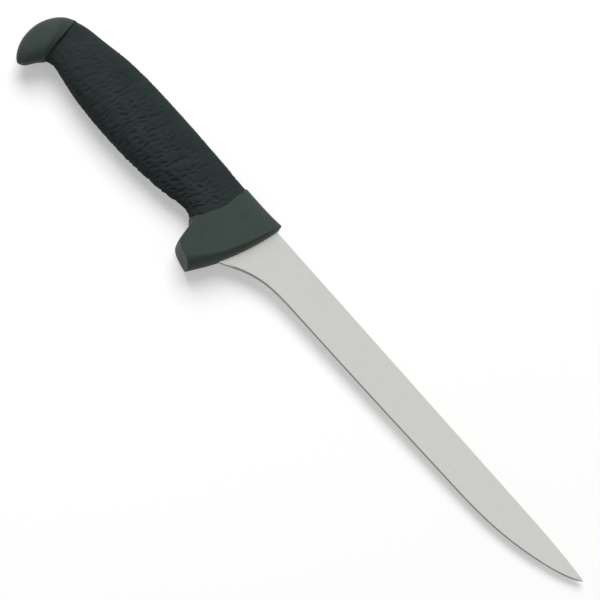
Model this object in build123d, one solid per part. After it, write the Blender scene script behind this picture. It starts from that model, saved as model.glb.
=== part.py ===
from build123d import *
import os

# Fillet knife: a ground steel blade with a hidden tang, a hard moulded handle core with a finger
# guard and a hooked pommel, and a soft grip sleeve moulded over the core. Millimetres.
# While it is modelled, X runs from the bolster's front face at the spine towards the tip, Y points
# from the cutting edge towards the spine, from the line of the spine, and Z is the thickness, from
# the middle of the blade. At the end everything moves to the middle of its box, bottom on Z = 0.

# Blade
blade_length = 190.5
blade_height = 17.5
heel_height = 27.1
heel_length = 32.0
shoulder_depth = 13.0
stock_thickness = 1.9
tip_thickness = 0.8
behind_edge_thickness = 0.36
edge_thickness = 0.1
bevel_height = 0.6

# Tang, inside the handle
tang_length = 102.0
tang_front_height = 13.0
tang_end_height = 9.0
tang_front_drop = 4.2
tang_end_drop = 8.6
tang_hole_diameter = 4.5
tang_hole_pitch = 30.0
tang_first_hole = 30.0

# Handle
handle_length = 130.2
grip_height = 30.2
grip_thickness = 18.9
grip_flat = 10.5
neck_pinch = 0.35
pommel_length = 22.2
pommel_thickness = 18.2
hook_drop = 34.7
pommel_hollow = 2.6
sleeve_wall = 2.2
sleeve_step = 0.25
key_depth = 0.9
key_width = 5.0
key_pitch = 16.0
first_key = 46.0

# Bolster and finger guard
bolster_thickness = 15.4
bolster_top = 2.3
thumb_rise = 0.75
seam_from_front = 21.4
seam_bulge = 4.7
guard_drop = 40.0
guard_edge_round = 0.6
top_corner_radius = 2.4
guard_length = 10.8
guard_lean = 12.0
nose_depth = 7.0
nose_top_depth = 1.4
side_ease = 0.03
front_ease = 0.05
nose_ease = 0.08

# How far cutting and overlapping shapes run past what they cut or join
overrun = 4.0

# Rows along the blade behind the straight edge: place as a share of heel_length, depth as a share
# of what heel_height adds to blade_height, thickness behind the edge and at the edge as shares of
# stock_thickness
heel_shares = [
    (-0.41, 1.23, 1.00, 1.00),
    (-0.28, 1.12, 1.00, 1.00),
    (-0.19, 1.00, 0.99, 0.96),
    (-0.06, 0.76, 0.96, 0.88),
    (0.13, 0.42, 0.88, 0.70),
    (0.39, 0.13, 0.71, 0.40),
    (0.65, 0.02, 0.53, 0.16),
]

# Rows along the ground blade: place as a share of blade_length, depth as a share of blade_height,
# drop of the spine as a share of blade_height, spine thickness as a share of the way from
# stock_thickness to tip_thickness, and thickness behind the edge as a share of the way from
# behind_edge_thickness to stock_thickness
ground_shares = [
    (0.168, 0.995, 0.00, 0.05, 0.22),
    (0.240, 0.988, 0.00, 0.13, 0.08),
    (0.315, 0.980, 0.00, 0.22, 0.02),
    (0.390, 0.968, 0.00, 0.32, 0.00),
    (0.472, 0.955, 0.00, 0.42, 0.00),
    (0.609, 0.925, 0.00, 0.60, 0.00),
    (0.738, 0.885, 0.00, 0.76, 0.00),
    (0.790, 0.830, 0.00, 0.82, 0.00),
    (0.842, 0.735, 0.00, 0.87, 0.00),
    (0.894, 0.600, 0.01, 0.92, 0.00),
    (0.946, 0.420, 0.035, 0.96, 0.00),
    (0.985, 0.222, 0.065, 0.99, 0.00),
]
tip_drop_share = 0.085
tip_end_share = 0.4

# Rows along the grip: place as a share of handle_length behind the bolster's front, top and bottom
# as shares of grip_height from the line of the spine, swell from the bolster's thickness (0) to
# grip_thickness (1), dip at the neck as a share of neck_pinch, middle of the flat band on its side
# as a share of grip_height below the spine, and how square the section is above that band, below
# it, and below it on the soft sleeve (0.55 is an ellipse)
grip_shares = [
    (0.150, 0.076, -1.080, 0.00, 0.60, -0.40, 0.60, 0.82, 0.66),
    (0.192, 0.077, -0.892, 0.00, 0.60, -0.40, 0.62, 0.80, 0.62),
    (0.222, 0.078, -0.782, 0.02, 0.70, -0.37, 0.67, 0.70, 0.46),
    (0.252, 0.080, -0.762, 0.08, 0.90, -0.34, 0.72, 0.60, 0.36),
    (0.305, 0.084, -0.812, 0.28, 1.00, -0.34, 0.70, 0.58, 0.35),
    (0.385, 0.089, -0.868, 0.66, 0.50, -0.37, 0.68, 0.58, 0.43),
    (0.475, 0.091, -0.900, 0.92, 0.10, -0.41, 0.67, 0.58, 0.55),
    (0.575, 0.086, -0.912, 1.00, 0.00, -0.41, 0.66, 0.58, 0.56),
    (0.670, 0.066, -0.905, 0.97, 0.00, -0.41, 0.66, 0.58, 0.56),
    (0.755, 0.020, -0.871, 0.84, 0.00, -0.42, 0.66, 0.59, 0.55),
]

# Rows round the pommel: spine-side point and finger-side point, each as a share of pommel_length
# behind the grip and a share of hook_drop below the spine, thickness as a share of
# pommel_thickness, and depth of the hollow in front of the pommel as a share of pommel_hollow
pommel_shares = [
    (0.00, 0.029, 0.00, 0.716, 0.985, 0.30),
    (0.275, 0.055, 0.185, 0.704, 1.00, 0.80),
    (0.57, 0.115, 0.325, 0.723, 1.00, 1.00),
    (0.78, 0.216, 0.400, 0.756, 0.97, 0.00),
    (0.945, 0.389, 0.45, 0.802, 0.90, 0.00),
    (1.00, 0.591, 0.485, 0.852, 0.80, 0.00),
    (0.95, 0.778, 0.52, 0.900, 0.67, 0.00),
    (0.84, 0.911, 0.555, 0.942, 0.49, 0.00),
    (0.765, 0.963, 0.595, 0.968, 0.33, 0.00),
]
hook_tip_share = (0.673, 1.0)
pommel_middle_share = 0.46
pommel_flat_share = 0.1
pommel_square_share = 0.64
hollow_square_share = 0.47
core_end_share = 0.8

# The line between pommel and sleeve: its top and bottom as shares of pommel_length behind the grip
pommel_seam_shares = (0.90, -0.03)

# The line between bolster and sleeve below its straight top: shares of seam_bulge rearwards and
# of guard_drop down
seam_shares = [
    (0.00, 0.20),
    (0.11, 0.32),
    (0.32, 0.39),
    (0.53, 0.45),
    (0.78, 0.53),
    (1.20, 0.595),
    (1.85, 0.66),
]

# The guard's end from rear to front: share of guard_length behind its front foot, and share of
# guard_drop below the spine
foot_shares = [
    (1.22, 0.800),
    (1.075, 0.853),
    (0.94, 0.889),
    (0.77, 0.915),
    (0.60, 0.931),
    (0.41, 0.945),
    (0.20, 0.965),
    (0.00, 1.000),
]

# Plan rows of the bolster and guard, from the top down: height as a share of guard_drop below the
# spine, front as a share of guard_lean behind the front face, nose as a share of the way from
# nose_top_depth to nose_depth, and rear as a share of guard_length behind the guard's front foot
plan_shares = [
    (-0.20, -0.06, 0.00, 2.90),
    (0.00, 0.00, 0.00, 2.75),
    (0.24, 0.11, 0.08, 2.30),
    (0.45, 0.27, 0.18, 1.72),
    (0.60, 0.42, 0.29, 1.33),
    (0.75, 0.61, 0.46, 1.17),
    (0.90, 0.84, 0.74, 1.02),
    (1.00, 1.00, 0.96, 0.94),
    (1.12, 1.20, 1.15, 0.86),
]
widest_below_spine_share = 0.50
bolster_square_share = 0.84


def rounded_section(spine_side, finger_side, half_width, flat, middle_share, square_above, square_below):
    """Closed rounded section through two points of the middle plane, with a flat band on each side."""
    down = (finger_side - spine_side).normalized()
    band_middle = spine_side + (finger_side - spine_side) * middle_share
    band_top = band_middle - down * flat / 2
    band_low = band_middle + down * flat / 2
    edges = []
    for sign in (1, -1):
        side = Vector(0, 0, sign * half_width)
        edges += [
            Bezier(
                spine_side,
                spine_side + side * square_above,
                band_top + (spine_side - band_top) * square_above + side,
                band_top + side,
            ),
            Line(band_top + side, band_low + side),
            Bezier(
                band_low + side,
                band_low + (finger_side - band_low) * square_below + side,
                finger_side + side * square_below,
                finger_side,
            ),
        ]
    return Wire(edges)


def handle_rows(soft):
    """The sections of grip and pommel: the whole hard shape, or the soft one as far as the core's end."""
    rows = []
    for along, top, bottom, swell, dip, middle, above, hard_below, soft_below in grip_shares:
        x = -along * handle_length
        half = (bolster_thickness + swell * (grip_thickness - bolster_thickness)) / 2 - dip * neck_pinch
        rows.append((
            Vector(x, top * grip_height),
            Vector(x, bottom * grip_height),
            half,
            grip_flat,
            (top - middle) / (top - bottom),
            above,
            soft_below if soft else hard_below,
        ))
    grip_end = handle_length - pommel_length
    for top_back, top_drop, low_back, low_drop, width, hollow in pommel_shares:
        if soft and top_back > core_end_share:
            break
        spine_side = Vector(-grip_end - top_back * pommel_length, -top_drop * hook_drop)
        finger_side = Vector(-grip_end - low_back * pommel_length, -low_drop * hook_drop)
        rows.append((
            spine_side,
            finger_side,
            width * pommel_thickness / 2 - hollow * pommel_hollow,
            (finger_side - spine_side).length * pommel_flat_share,
            pommel_middle_share,
            pommel_square_share,
            pommel_square_share + hollow * (hollow_square_share - pommel_square_share),
        ))
    return rows


def inset_row(row, inset):
    """The same section made smaller by inset on every side."""
    spine_side, finger_side, half, *rest = row
    step = (finger_side - spine_side).normalized() * inset
    return spine_side + step, finger_side - step, half - inset, *rest


def handle_body(soft, inset=0):
    """The shape of grip and pommel, hard or soft, made smaller by inset."""
    sections = [rounded_section(*inset_row(row, inset)) for row in handle_rows(soft)]
    if not soft:
        back_share, drop_share = hook_tip_share
        tip_x = pommel_length - handle_length - back_share * pommel_length
        sections.append(Vertex(tip_x, -drop_share * hook_drop, 0))
    return Solid.make_loft(sections)


def prism(points, half_width):
    """A closed outline of points and curves, pulled out to both sides of the middle."""
    return extrude(make_face(points), amount=half_width, both=True)


def blade_section(x, spine_y, edge_y, spine_half, shoulder_half, edge_half):
    """One cross-section of the blade: spine, ground sides and edge bevels."""
    shoulder_y = edge_y + min(bevel_height, (spine_y - edge_y) / 2)
    right = [(x, spine_y, spine_half), (x, shoulder_y, shoulder_half), (x, edge_y, edge_half)]
    left = [(px, py, -pz) for px, py, pz in reversed(right)]
    return Wire.make_polygon(right + left, close=True)


def blade_blank():
    """The blade in front of the handle, with the part of its heel that the bolster holds."""
    sections = []
    heel_extra = heel_height - blade_height
    for along, extra, shoulder, edge in heel_shares:
        sections.append(blade_section(
            along * heel_length,
            0,
            -blade_height - extra * heel_extra,
            stock_thickness / 2,
            shoulder * stock_thickness / 2,
            edge * stock_thickness / 2,
        ))
    for along, depth, drop, taper, unground in ground_shares:
        spine = stock_thickness + taper * (tip_thickness - stock_thickness)
        shoulder = behind_edge_thickness + unground * (stock_thickness - behind_edge_thickness)
        sections.append(blade_section(
            along * blade_length,
            -drop * blade_height,
            -depth * blade_height,
            spine / 2,
            shoulder / 2,
            edge_thickness / 2,
        ))
    tip_y = -tip_drop_share * blade_height
    sections.append(blade_section(
        blade_length,
        tip_y,
        tip_y - tip_end_share * bevel_height,
        behind_edge_thickness / 2,
        behind_edge_thickness / 2,
        edge_thickness / 2,
    ))
    return Solid.make_loft(sections)


def make_blade():
    """Blade and tang as one piece, with the holes that lock the tang."""
    tang_outline = Polyline(
        (-shoulder_depth + bevel_height, -tang_front_drop),
        (-tang_length, -tang_end_drop),
        (-tang_length, -tang_end_drop - tang_end_height),
        (-shoulder_depth + bevel_height, -tang_front_drop - tang_front_height),
        close=True,
    )
    tang = prism(tang_outline, stock_thickness / 2)
    slope = (tang_end_drop + tang_end_height / 2 - tang_front_drop - tang_front_height / 2)
    slope /= tang_length - shoulder_depth
    x = tang_first_hole
    while x < tang_length - tang_hole_diameter:
        y = -tang_front_drop - tang_front_height / 2 - slope * (x - shoulder_depth)
        tang -= Pos(-x, y, 0) * Cylinder(tang_hole_diameter / 2, stock_thickness + overrun)
        x += tang_hole_pitch
    return blade_blank() + tang


def plan_section(y, front, nose, rear):
    """Outline of bolster or guard at one height: elliptical nose, straight sides, rounded rear."""
    half = bolster_thickness / 2 + nose_ease
    side_front = front - nose
    side_rear = rear + guard_edge_round
    plane = Plane(origin=(0, y, 0), x_dir=(1, 0, 0), z_dir=(0, -1, 0))
    at = plane.from_local_coords
    arm = 4 / 3 * (2 ** 0.5 - 1)
    outline = []
    for sign in (1, -1):
        outline += [
            Bezier(
                at((front, 0)),
                at((front, sign * half * arm)),
                at((side_front + nose * arm, sign * half)),
                at((side_front, sign * half)),
            ),
            Line(at((side_front, sign * half)), at((side_rear, sign * half))),
            Bezier(
                at((side_rear, sign * half)),
                at((side_rear - guard_edge_round * arm, sign * half)),
                at((rear, sign * half * arm)),
                at((rear, 0)),
            ),
        ]
    return Wire(outline)


def plan_body():
    """Bolster and guard seen from the spine: the leaning front with its nose, the guard's rear."""
    sections = []
    for height, lean, nose, rear in plan_shares:
        depth = nose_top_depth + nose * (nose_depth - nose_top_depth)
        sections.append(plan_section(
            -height * guard_drop,
            -lean * guard_lean,
            depth,
            -guard_lean - rear * guard_length,
        ))
    return Solid.make_loft(sections)


def end_section(x, top):
    """Bolster seen from the front: rounded top on straight sides."""
    half = bolster_thickness / 2 + side_ease
    widest_y = -widest_below_spine_share * grip_height
    low_y = -guard_drop - overrun
    edges = []
    for sign in (1, -1):
        edges += [
            Bezier(
                (x, top, 0),
                (x, top, sign * half * bolster_square_share),
                (x, widest_y + (top - widest_y) * bolster_square_share, sign * half),
                (x, widest_y, sign * half),
            ),
            Line((x, widest_y, sign * half), (x, low_y, sign * half)),
        ]
    edges.append(Line((x, low_y, -half), (x, low_y, half)))
    return Wire(edges)


def end_body():
    """The rounded top of the bolster, rising a little to the front."""
    return Solid.make_loft([
        end_section(-seam_from_front - 2 * seam_bulge - overrun, bolster_top),
        end_section(-seam_from_front, bolster_top),
        end_section(-seam_from_front / 2, bolster_top),
        end_section(0, bolster_top + thumb_rise),
        end_section(overrun, bolster_top + 2 * thumb_rise),
    ])


def seam_curve():
    """The line between bolster and sleeve on the side, from its straight top down."""
    points = [
        (-seam_from_front - back * seam_bulge, -down * guard_drop) for back, down in seam_shares
    ]
    return Spline(*points, tangents=[(0, -1), (-1, -0.8)])


def side_block(half_width):
    """Everything in front of the seam, down to the guard's end, with the top front corner cut."""
    seam = seam_curve()
    above = bolster_top + 2 * overrun
    ahead = 2 * overrun
    foot = Spline(*[(-guard_lean - back * guard_length, -down * guard_drop) for back, down in foot_shares])
    behind_foot = ((seam @ 1).X, (foot @ 0).Y)
    past_foot = foot @ 1 + (foot % 1) * guard_length
    corner_y = bolster_top + thumb_rise - top_corner_radius
    corner_x = front_ease
    return prism([
        seam,
        Line(seam @ 1, behind_foot),
        Line(behind_foot, foot @ 0),
        foot,
        Line(foot @ 1, past_foot),
        Line(past_foot, (ahead, past_foot.Y)),
        Line((ahead, past_foot.Y), (ahead, corner_y)),
        Line((ahead, corner_y), (corner_x, corner_y)),
        TangentArc(
            (corner_x, corner_y),
            (corner_x - top_corner_radius, corner_y + top_corner_radius),
            tangent=(0, 1),
        ),
        Line(
            (corner_x - top_corner_radius, corner_y + top_corner_radius),
            (corner_x - top_corner_radius, above),
        ),
        Line((corner_x - top_corner_radius, above), ((seam @ 0).X, above)),
        Line(((seam @ 0).X, above), seam @ 0),
    ], half_width)


def make_handle():
    """The hard core and the soft sleeve, before the blade's room is cut."""
    front_zone = side_block(bolster_thickness / 2)
    wide_zone = side_block(grip_thickness)
    bolster = front_zone & plan_body() & end_body()

    outer = handle_body(False)
    grip_end = handle_length - pommel_length
    seam_top, seam_low = pommel_seam_shares
    rear_zone = prism(Polyline(
        (-grip_end - seam_top * pommel_length, grip_height),
        (-grip_end - seam_low * pommel_length, -2 * hook_drop),
        (-2 * handle_length, -2 * hook_drop),
        (-2 * handle_length, grip_height),
        close=True,
    ), grip_thickness)

    inner = handle_body(True, sleeve_wall)
    keys = handle_body(True, sleeve_wall - key_depth)
    keys -= handle_body(True, sleeve_wall + key_depth)
    x = first_key
    while x < grip_end:
        slab = Pos(-x, 0, 0) * Box(key_width, 4 * grip_height, 4 * grip_thickness)
        inner -= slab & keys
        x += key_pitch

    hard = bolster + (outer & wide_zone) + (outer & rear_zone) + inner
    sleeve = handle_body(True, sleeve_step) - wide_zone - rear_zone - hard
    return hard, sleeve


blade = make_blade()
hard, grip_sleeve = make_handle()
handle_core = hard - blade

pieces = {"blade": blade, "handle_core": handle_core, "grip_sleeve": grip_sleeve}
box = Compound(list(pieces.values())).bounding_box()
to_frame = Pos(-(box.min.X + box.max.X) / 2, -(box.min.Y + box.max.Y) / 2, -box.min.Z)

os.makedirs("parts", exist_ok=True)
for name, piece in pieces.items():
    export_step(to_frame * piece, f"parts/{name}.step")
    size = piece.bounding_box().size
    print(name, len(piece.solids()), round(piece.volume, 1), [round(s, 2) for s in size])
print("origin from the bolster's front at the spine:", to_frame.position)
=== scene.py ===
"""Looks of the fillet knife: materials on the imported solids, a ridged soft grip, and a plain studio."""

import math

import bpy
import numpy as np
from mathutils import Matrix, Vector
from mathutils.bvhtree import BVHTree


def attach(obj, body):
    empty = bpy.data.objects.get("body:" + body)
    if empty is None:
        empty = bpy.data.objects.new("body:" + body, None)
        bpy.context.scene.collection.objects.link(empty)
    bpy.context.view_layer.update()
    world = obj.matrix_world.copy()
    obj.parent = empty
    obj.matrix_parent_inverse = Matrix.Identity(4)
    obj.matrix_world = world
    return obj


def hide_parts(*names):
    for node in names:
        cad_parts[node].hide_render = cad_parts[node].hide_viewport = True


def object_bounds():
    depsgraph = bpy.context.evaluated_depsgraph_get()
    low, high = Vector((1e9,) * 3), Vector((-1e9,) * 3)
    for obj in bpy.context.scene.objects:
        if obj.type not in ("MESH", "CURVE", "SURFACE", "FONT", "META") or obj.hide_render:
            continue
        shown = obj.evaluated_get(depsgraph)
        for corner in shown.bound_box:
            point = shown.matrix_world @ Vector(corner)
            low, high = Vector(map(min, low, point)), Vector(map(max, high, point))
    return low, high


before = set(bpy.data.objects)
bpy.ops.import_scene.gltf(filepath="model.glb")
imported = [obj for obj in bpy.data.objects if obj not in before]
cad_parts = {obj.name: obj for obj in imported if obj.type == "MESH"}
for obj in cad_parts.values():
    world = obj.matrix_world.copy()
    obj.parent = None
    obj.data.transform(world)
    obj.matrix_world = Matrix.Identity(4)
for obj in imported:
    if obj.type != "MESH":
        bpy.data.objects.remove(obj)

MM = 0.001
cad_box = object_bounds()

# The bolster's front face at the line of the spine, in the middle of the blade's thickness
bolster_front = Vector((-30.15, 18.57, 9.2)) * MM

# Camera: where it looks, the way to it from there, how far it is, how steeply the knife's length
# falls to the right in the picture, and how large the picture shows things
look_at = bolster_front + Vector((27.4, -11.8, 0)) * MM
to_camera = Vector((0.05, -0.29, 0.9557)).normalized()
camera_distance = 1.0
blade_slope = math.radians(48.3)
picture_width = 600
metres_per_pixel = 0.4115 * MM
sensor_width = 36
clip_start = 0.01

# Where the knife lies on the table: on its belly and on the bolster, so a little nose-down
belly_contact = Vector((-94.5, 6.6, 0.11)) * MM
bolster_contact = Vector((-32.9, 7.0, 1.5)) * MM

# The table: its colours, its shine, and how much whiter the camera sees it
table_size = 6.0
table_gap = 0.02 * MM
table_glow = 0.36
table_dark = (0.655, 0.655, 0.65)
table_light = (0.675, 0.675, 0.67)
table_cloud_scale = 3
table_roughness = 0.9
table_shine = 0.2

# Studio light
world_strength = 0.3
key_direction = Vector((-0.62, 0.4, 1.0)).normalized()
key_distance = 2.0
key_size = 1.6
key_power = 39

# Steel: its colours, its grinding lines, and how upright a normal is on the cutting edge's bevels
# and on the blade's sides; the bevels get a dark colour painted on as a reflection of dark surroundings
steel_dark = (0.585, 0.592, 0.565)
steel_light = (0.635, 0.642, 0.612)
steel_roughness = (0.33, 0.41)
steel_cloud_scale = 60
steel_line_stretch = (5200, 260, 260)
steel_line_depth = 0.004 * MM
steel_line_strength = 0.6
edge_normal_z = 0.980
side_normal_z = 0.994
# Painted dark reflection: the colour given to the cutting edge's bevels, where polished steel would mirror
# dark surroundings
edge_painted_reflection = (0.21, 0.215, 0.21)

# Moulded plastic and rubber
moulded_cloud_scale = 130
roughness_spread = 0.05
bevel_samples = 6
hard_look = {
    "dark": (0.042, 0.056, 0.051),
    "light": (0.047, 0.063, 0.057),
    "roughness": 0.5,
    "shine": 0.08,
    "grain_size": 0.35 * MM,
    "grain_depth": 0.012 * MM,
    "edge_radius": 0.35 * MM,
}
soft_look = {
    "dark": (0.0235, 0.0315, 0.0305),
    "light": (0.0275, 0.0375, 0.0365),
    "roughness": 0.65,
    "shine": 0.03,
    "grain_size": 0.4 * MM,
    "grain_depth": 0.02 * MM,
    "edge_radius": 0.1 * MM,
}

# Soft grip, its grid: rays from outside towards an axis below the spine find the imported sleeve.
# Its rim runs on under the hard parts at both seams.
grip_axis_drop = 12.4 * MM
ray_length = 40 * MM
grip_step = 0.34 * MM
grip_girth_steps = 264
seam_search = {"front": (-60 * MM, -15 * MM), "rear": (-100 * MM, -124 * MM)}
seam_search_steps = 16
facet_smoothing_passes = 14
smoothing_inset = 0.04 * MM
unsmoothed_rim = 1.5 * MM
least_sine = 0.1
rim_depth = 0.5 * MM
rim_tuck = 0.8 * MM

# Soft grip, its seams: a fine groove along both, and a hollow in front of the pommel that comes
# and goes between two pairs of places, measured round the grip from the spine
seam_groove_depth = 0.06 * MM
seam_groove_width = 0.5 * MM
rear_hollow_depth = 1.2 * MM
rear_hollow_length = 6.0 * MM
hollow_comes = (10 * MM, 24 * MM)
hollow_goes = (25 * MM, 32 * MM)

# Soft grip, its ridges: they lean, wander and break up, fade out at the seams, and are shallower
# on the spine's side and towards the pommel
ridge_seed = 12
ridge_pitch = 2.3 * MM
ridge_lean = math.radians(12)
ridge_depth = 0.55 * MM
ridge_wander = ((1.1, 4 * MM), (0.5, 2 * MM))
groove_sharpness = 1.2
break_middle = 0.55
break_swing = 0.6
break_size = 2.6 * MM
uneven_share = 0.12
uneven_size = 1.6 * MM
lowered_share = 0.1
relief_limit = 1.2
ridge_top_share = 0.25
ridge_side_fade = (4 * MM, 20 * MM)
ridge_rear_share = 0.6
ridge_rear_fade = (70 * MM, 112 * MM)
ridge_seam_fade = 1.5 * MM
wave_count = 20
wave_length_spread = (0.75, 1.4)


def node_input(node, name, value):
    """Sets a socket, or links it when the value is another node's socket."""
    if isinstance(value, bpy.types.NodeSocket):
        node.id_data.links.new(value, node.inputs[name])
    else:
        node.inputs[name].default_value = value


def add_node(tree, kind, inputs=None, **settings):
    """A node of the given kind with its settings and inputs."""
    node = tree.nodes.new(kind)
    for name, value in settings.items():
        setattr(node, name, value)
    for name, value in (inputs or {}).items():
        node_input(node, name, value)
    return node


def noise(tree, scale, detail=3.0, roughness=0.5, stretch=(1, 1, 1)):
    """Noise over the object's own coordinates, with features about 1 / scale metres wide."""
    place = add_node(tree, "ShaderNodeTexCoord").outputs["Object"]
    if stretch != (1, 1, 1):
        place = add_node(tree, "ShaderNodeMapping", {"Vector": place, "Scale": stretch}).outputs[0]
    values = {"Vector": place, "Scale": scale, "Detail": detail, "Roughness": roughness}
    return add_node(tree, "ShaderNodeTexNoise", values).outputs[0]


def remap(tree, value, low, high, start=0.3, end=0.7):
    """Stretches a texture's useful middle over another range."""
    values = {"Value": value, "From Min": start, "From Max": end, "To Min": low, "To Max": high}
    return add_node(tree, "ShaderNodeMapRange", values).outputs[0]


def blend_colours(tree, share, first, second):
    """A colour between two, by share. The first may be another node's socket."""
    node = add_node(tree, "ShaderNodeMix", data_type="RGBA")
    node_input(node, 0, share)
    node_input(node, 6, first if isinstance(first, bpy.types.NodeSocket) else (*first, 1))
    node_input(node, 7, (*second, 1))
    return node.outputs[2]


def bump(tree, height, distance, strength=1.0, normal=None):
    """Raises a texture's light parts by distance."""
    values = {"Height": height, "Distance": distance, "Strength": strength}
    if normal:
        values["Normal"] = normal
    return add_node(tree, "ShaderNodeBump", values).outputs[0]


def new_material(name):
    """An empty node material with its shader."""
    material = bpy.data.materials.new(name)
    material.use_nodes = True
    return material, material.node_tree, material.node_tree.nodes["Principled BSDF"]


def steel_material():
    """Satin steel with fine grinding lines across the blade, and a dark reflection painted on the cutting
    edge's bevels.
    """
    material, tree, shader = new_material("satin_steel")
    lines = noise(tree, 1.0, detail=4, roughness=0.6, stretch=steel_line_stretch)
    clouds = noise(tree, steel_cloud_scale, detail=2)
    ground = blend_colours(tree, remap(tree, lines, 0, 1), steel_dark, steel_light)
    normal = add_node(tree, "ShaderNodeTexCoord").outputs["Normal"]
    facing = add_node(tree, "ShaderNodeSeparateXYZ", {0: normal})
    flatness = add_node(tree, "ShaderNodeMath", {0: facing.outputs["Z"]}, operation="ABSOLUTE").outputs[0]
    # Painted dark reflection: bevels, found by how steeply their normals face up, take the dark edge
    # colour instead of the steel's own
    edge = remap(tree, flatness, 1, 0, edge_normal_z, side_normal_z)
    node_input(shader, "Base Color", blend_colours(tree, edge, ground, edge_painted_reflection))
    node_input(shader, "Metallic", 1.0)
    node_input(shader, "Roughness", remap(tree, clouds, *steel_roughness))
    node_input(shader, "Normal", bump(tree, lines, steel_line_depth, steel_line_strength))
    return material


def moulded_material(name, dark, light, roughness, shine, grain_size, grain_depth, edge_radius):
    """Matt moulded plastic or rubber: a fine grain, faint clouds in its colour, softened edges."""
    material, tree, shader = new_material(name)
    grain = noise(tree, 1 / grain_size, detail=4, roughness=0.6)
    clouds = noise(tree, moulded_cloud_scale, detail=3, roughness=0.55)
    node_input(shader, "Base Color", blend_colours(tree, remap(tree, clouds, 0, 1), dark, light))
    smoothest = roughness - roughness_spread
    node_input(shader, "Roughness", remap(tree, grain, smoothest, roughness + roughness_spread))
    node_input(shader, "Specular IOR Level", shine)
    rounded = add_node(tree, "ShaderNodeBevel", {"Radius": edge_radius}, samples=bevel_samples).outputs[0]
    node_input(shader, "Normal", bump(tree, grain, grain_depth, 1.0, rounded))
    return material


def dress(node_name, material):
    """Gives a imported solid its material."""
    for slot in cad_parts[node_name].material_slots:
        slot.material = material


def first_hit(trees, x, angle):
    """How far from the grip's axis, and on which solid, a ray from outside lands."""
    outwards = Vector((0, math.cos(angle), math.sin(angle)))
    axis = bolster_front + Vector((x, -grip_axis_drop, 0))
    hits = []
    for name, tree in trees.items():
        point, _, _, distance = tree.ray_cast(axis + outwards * ray_length, -outwards, ray_length)
        if point:
            hits.append((ray_length - distance, name))
    return max(hits)


def find_seam(trees, angle, inside, outside):
    """The place along the knife where the sleeve ends at one angle."""
    for _ in range(seam_search_steps):
        middle = (inside + outside) / 2
        if first_hit(trees, middle, angle)[1] == "grip_sleeve":
            inside = middle
        else:
            outside = middle
    return inside


def waves(rng, along, round_it, size):
    """Smooth seeded noise over the grip, with features of about the given size."""
    total = np.zeros_like(along)
    for _ in range(wave_count):
        heading = rng.uniform(0, 2 * math.pi)
        length = 2 * size * rng.uniform(*wave_length_spread)
        offset = rng.uniform(0, 2 * math.pi)
        place = along * math.cos(heading) + round_it * math.sin(heading)
        total += np.cos(2 * math.pi * place / length + offset)
    return total / math.sqrt(wave_count / 2)


def smooth_step(values, low, high):
    """0 below low, 1 above high, and smooth between."""
    share = np.clip((values - low) / (high - low), 0, 1)
    return share * share * (3 - 2 * share)


def ridge_relief(along, round_it):
    """How deep the grip is carved between its short wavy ridges."""
    rng = np.random.default_rng(ridge_seed)
    lean = along * math.cos(ridge_lean) + round_it * math.sin(ridge_lean)
    phase = 2 * math.pi * lean / ridge_pitch
    for amount, size in ridge_wander:
        phase = phase + amount * waves(rng, along, round_it, size)
    groove = ((1 - np.cos(phase)) / 2) ** groove_sharpness
    breaks = np.clip(break_middle + break_swing * waves(rng, along, round_it, break_size), 0, relief_limit)
    uneven = uneven_share * waves(rng, along, round_it, uneven_size)
    low_half = ridge_top_share + (1 - ridge_top_share) * smooth_step(round_it, *ridge_side_fade)
    rear = 1 - (1 - ridge_rear_share) * smooth_step(-along, *ridge_rear_fade)
    carved = np.clip(groove * breaks + uneven + lowered_share, 0, relief_limit)
    return ridge_depth * carved * low_half * rear


def smooth_grid(values):
    """Takes the solids' small facets out of the grid, along the grip and round it."""
    for _ in range(facet_smoothing_passes):
        round_it = (np.roll(values, 1, axis=1) + 2 * values + np.roll(values, -1, axis=1)) / 4
        padded = np.vstack([2 * round_it[0] - round_it[1], round_it, 2 * round_it[-1] - round_it[-2]])
        values = (padded[:-2] + 2 * padded[1:-1] + padded[2:]) / 4
    return values


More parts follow.
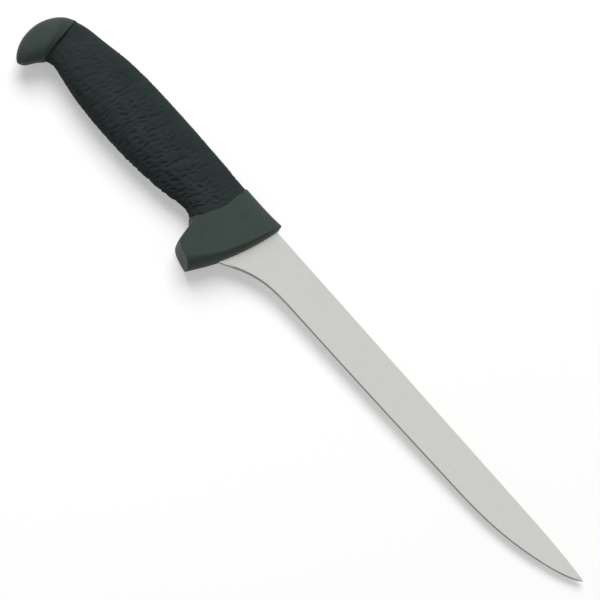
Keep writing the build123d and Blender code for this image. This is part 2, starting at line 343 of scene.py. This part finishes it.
def make_grip():
    """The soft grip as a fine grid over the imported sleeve, carved inwards between its ridges."""
    trees = {}
    for name in ("grip_sleeve", "handle_core"):
        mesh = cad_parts[name].data
        corners = [vertex.co for vertex in mesh.vertices]
        trees[name] = BVHTree.FromPolygons(corners, [face.vertices[:] for face in mesh.polygons])

    angles = np.linspace(0, 2 * math.pi, grip_girth_steps, endpoint=False)
    front = np.array([find_seam(trees, angle, *seam_search["front"]) for angle in angles])
    rear = np.array([find_seam(trees, angle, *seam_search["rear"]) for angle in angles])
    rows = int((front.max() - rear.min()) / grip_step)
    share = np.linspace(0, 1, rows)[:, None]
    along = front + (rear - front) * share

    sleeve = {"grip_sleeve": trees["grip_sleeve"]}
    radius = np.array([
        [first_hit(sleeve, x, angle)[0] for x, angle in zip(row, angles)] for row in along
    ])
    to_seam = np.minimum(front - along, along - rear)
    smoothing = smooth_step(to_seam, 0, unsmoothed_rim)
    radius += (smooth_grid(radius) - radius) * smoothing - smoothing_inset
    half_thickness = (cad_box[1][2] - cad_box[0][2]) / 2
    radius = np.minimum(radius, half_thickness / np.maximum(np.abs(np.sin(angles)), least_sine))

    middle = radius[rows // 2]
    steps = middle * (angles[1] - angles[0])
    girth = np.cumsum(steps) - steps[0]
    from_spine = np.minimum(girth, girth[-1] + steps[-1] - girth)
    relief = ridge_relief(along, from_spine + np.zeros_like(along))
    relief = relief * smooth_step(to_seam, 0, ridge_seam_fade)
    groove = seam_groove_depth * (1 - smooth_step(to_seam, 0, seam_groove_width))
    hollow = rear_hollow_depth * (1 - smooth_step(along - rear, 0, rear_hollow_length))
    hollow = hollow * smooth_step(from_spine, *hollow_comes) * (1 - smooth_step(from_spine, *hollow_goes))
    radius = radius - relief - groove - hollow

    along = np.vstack([along[:1] + rim_tuck, along, along[-1:] - rim_tuck])
    radius = np.vstack([radius[:1] - rim_depth, radius, radius[-1:] - rim_depth])
    rows += 2
    points = np.stack([
        bolster_front.x + along,
        bolster_front.y - grip_axis_drop + radius * np.cos(angles),
        bolster_front.z + radius * np.sin(angles),
    ], axis=-1).reshape(-1, 3)
    faces = []
    for row in range(rows - 1):
        for column in range(grip_girth_steps):
            beside = (column + 1) % grip_girth_steps
            start, below = row * grip_girth_steps, (row + 1) * grip_girth_steps
            faces.append((start + column, start + beside, below + beside, below + column))
    mesh = bpy.data.meshes.new("soft_grip")
    mesh.from_pydata(points.tolist(), [], faces)
    mesh.polygons.foreach_set("use_smooth", [True] * len(faces))
    mesh.update()
    grip = bpy.data.objects.new("soft_grip", mesh)
    bpy.context.scene.collection.objects.link(grip)
    return grip


def add_camera():
    """The camera at the photograph's angle."""
    along = (Vector((1, 0, 0)) - to_camera * to_camera.x).normalized()
    across = to_camera.cross(along)
    right = along * math.cos(blade_slope) + across * math.sin(blade_slope)
    up = to_camera.cross(right)
    camera = bpy.data.cameras.new("camera")
    camera.sensor_width = sensor_width
    camera.lens = camera_distance / (metres_per_pixel * picture_width) * sensor_width
    camera.clip_start = clip_start
    holder = bpy.data.objects.new("camera", camera)
    turn = Matrix((right, up, to_camera)).transposed().to_4x4()
    holder.matrix_world = Matrix.Translation(look_at + to_camera * camera_distance) @ turn
    bpy.context.scene.collection.objects.link(holder)
    bpy.context.scene.camera = holder


def seen_directly(tree):
    """1 where the camera sees a surface itself, or in metal or glass, and 0 where it only gives light."""
    path = add_node(tree, "ShaderNodeLightPath").outputs
    seen = path["Is Camera Ray"]
    for other in ("Is Glossy Ray", "Is Transmission Ray"):
        seen = add_node(tree, "ShaderNodeMath", {0: seen, 1: path[other]}, operation="MAXIMUM").outputs[0]
    return seen


def add_table():
    """A plain pale table under the knife."""
    material, tree, shader = new_material("pale_table")
    clouds = remap(tree, noise(tree, table_cloud_scale, detail=2), 0, 1)
    node_input(shader, "Base Color", blend_colours(tree, clouds, table_dark, table_light))
    node_input(shader, "Roughness", table_roughness)
    node_input(shader, "Specular IOR Level", table_shine)
    node_input(shader, "Emission Color", (1, 1, 1, 1))
    node_input(shader, "Emission Strength", remap(tree, seen_directly(tree), 0, table_glow, 0, 1))
    run = bolster_contact - belly_contact
    place = belly_contact - Vector((0, 0, table_gap))
    tilt = (0, -math.atan2(run.z, run.x), 0)
    bpy.ops.mesh.primitive_plane_add(size=table_size, location=place, rotation=tilt)
    table = bpy.context.object
    table.name = "table"
    table.data.materials.append(material)


def add_light():
    """Even white surroundings, and a large soft light from above the spine and the pommel."""
    world = bpy.data.worlds.new("studio")
    world.use_nodes = True
    background = world.node_tree.nodes["Background"]
    background.inputs["Color"].default_value = (1, 1, 1, 1)
    seen = seen_directly(world.node_tree)
    node_input(background, "Strength", remap(world.node_tree, seen, world_strength, 1, 0, 1))
    bpy.context.scene.world = world
    light = bpy.data.lights.new("key", "AREA")
    light.shape = "DISK"
    light.size = key_size
    light.energy = key_power
    holder = bpy.data.objects.new("key", light)
    holder.location = look_at + key_direction * key_distance
    holder.rotation_euler = key_direction.to_track_quat("Z", "Y").to_euler()
    holder.visible_glossy = False
    bpy.context.scene.collection.objects.link(holder)


dress("blade", steel_material())
dress("handle_core", moulded_material("hard_handle", **hard_look))
grip = make_grip()
grip.data.materials.append(moulded_material("soft_handle", **soft_look))
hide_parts("grip_sleeve")
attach(grip, "root")

add_camera()
add_table()
add_light()
bpy.context.scene.view_settings.view_transform = "Standard"
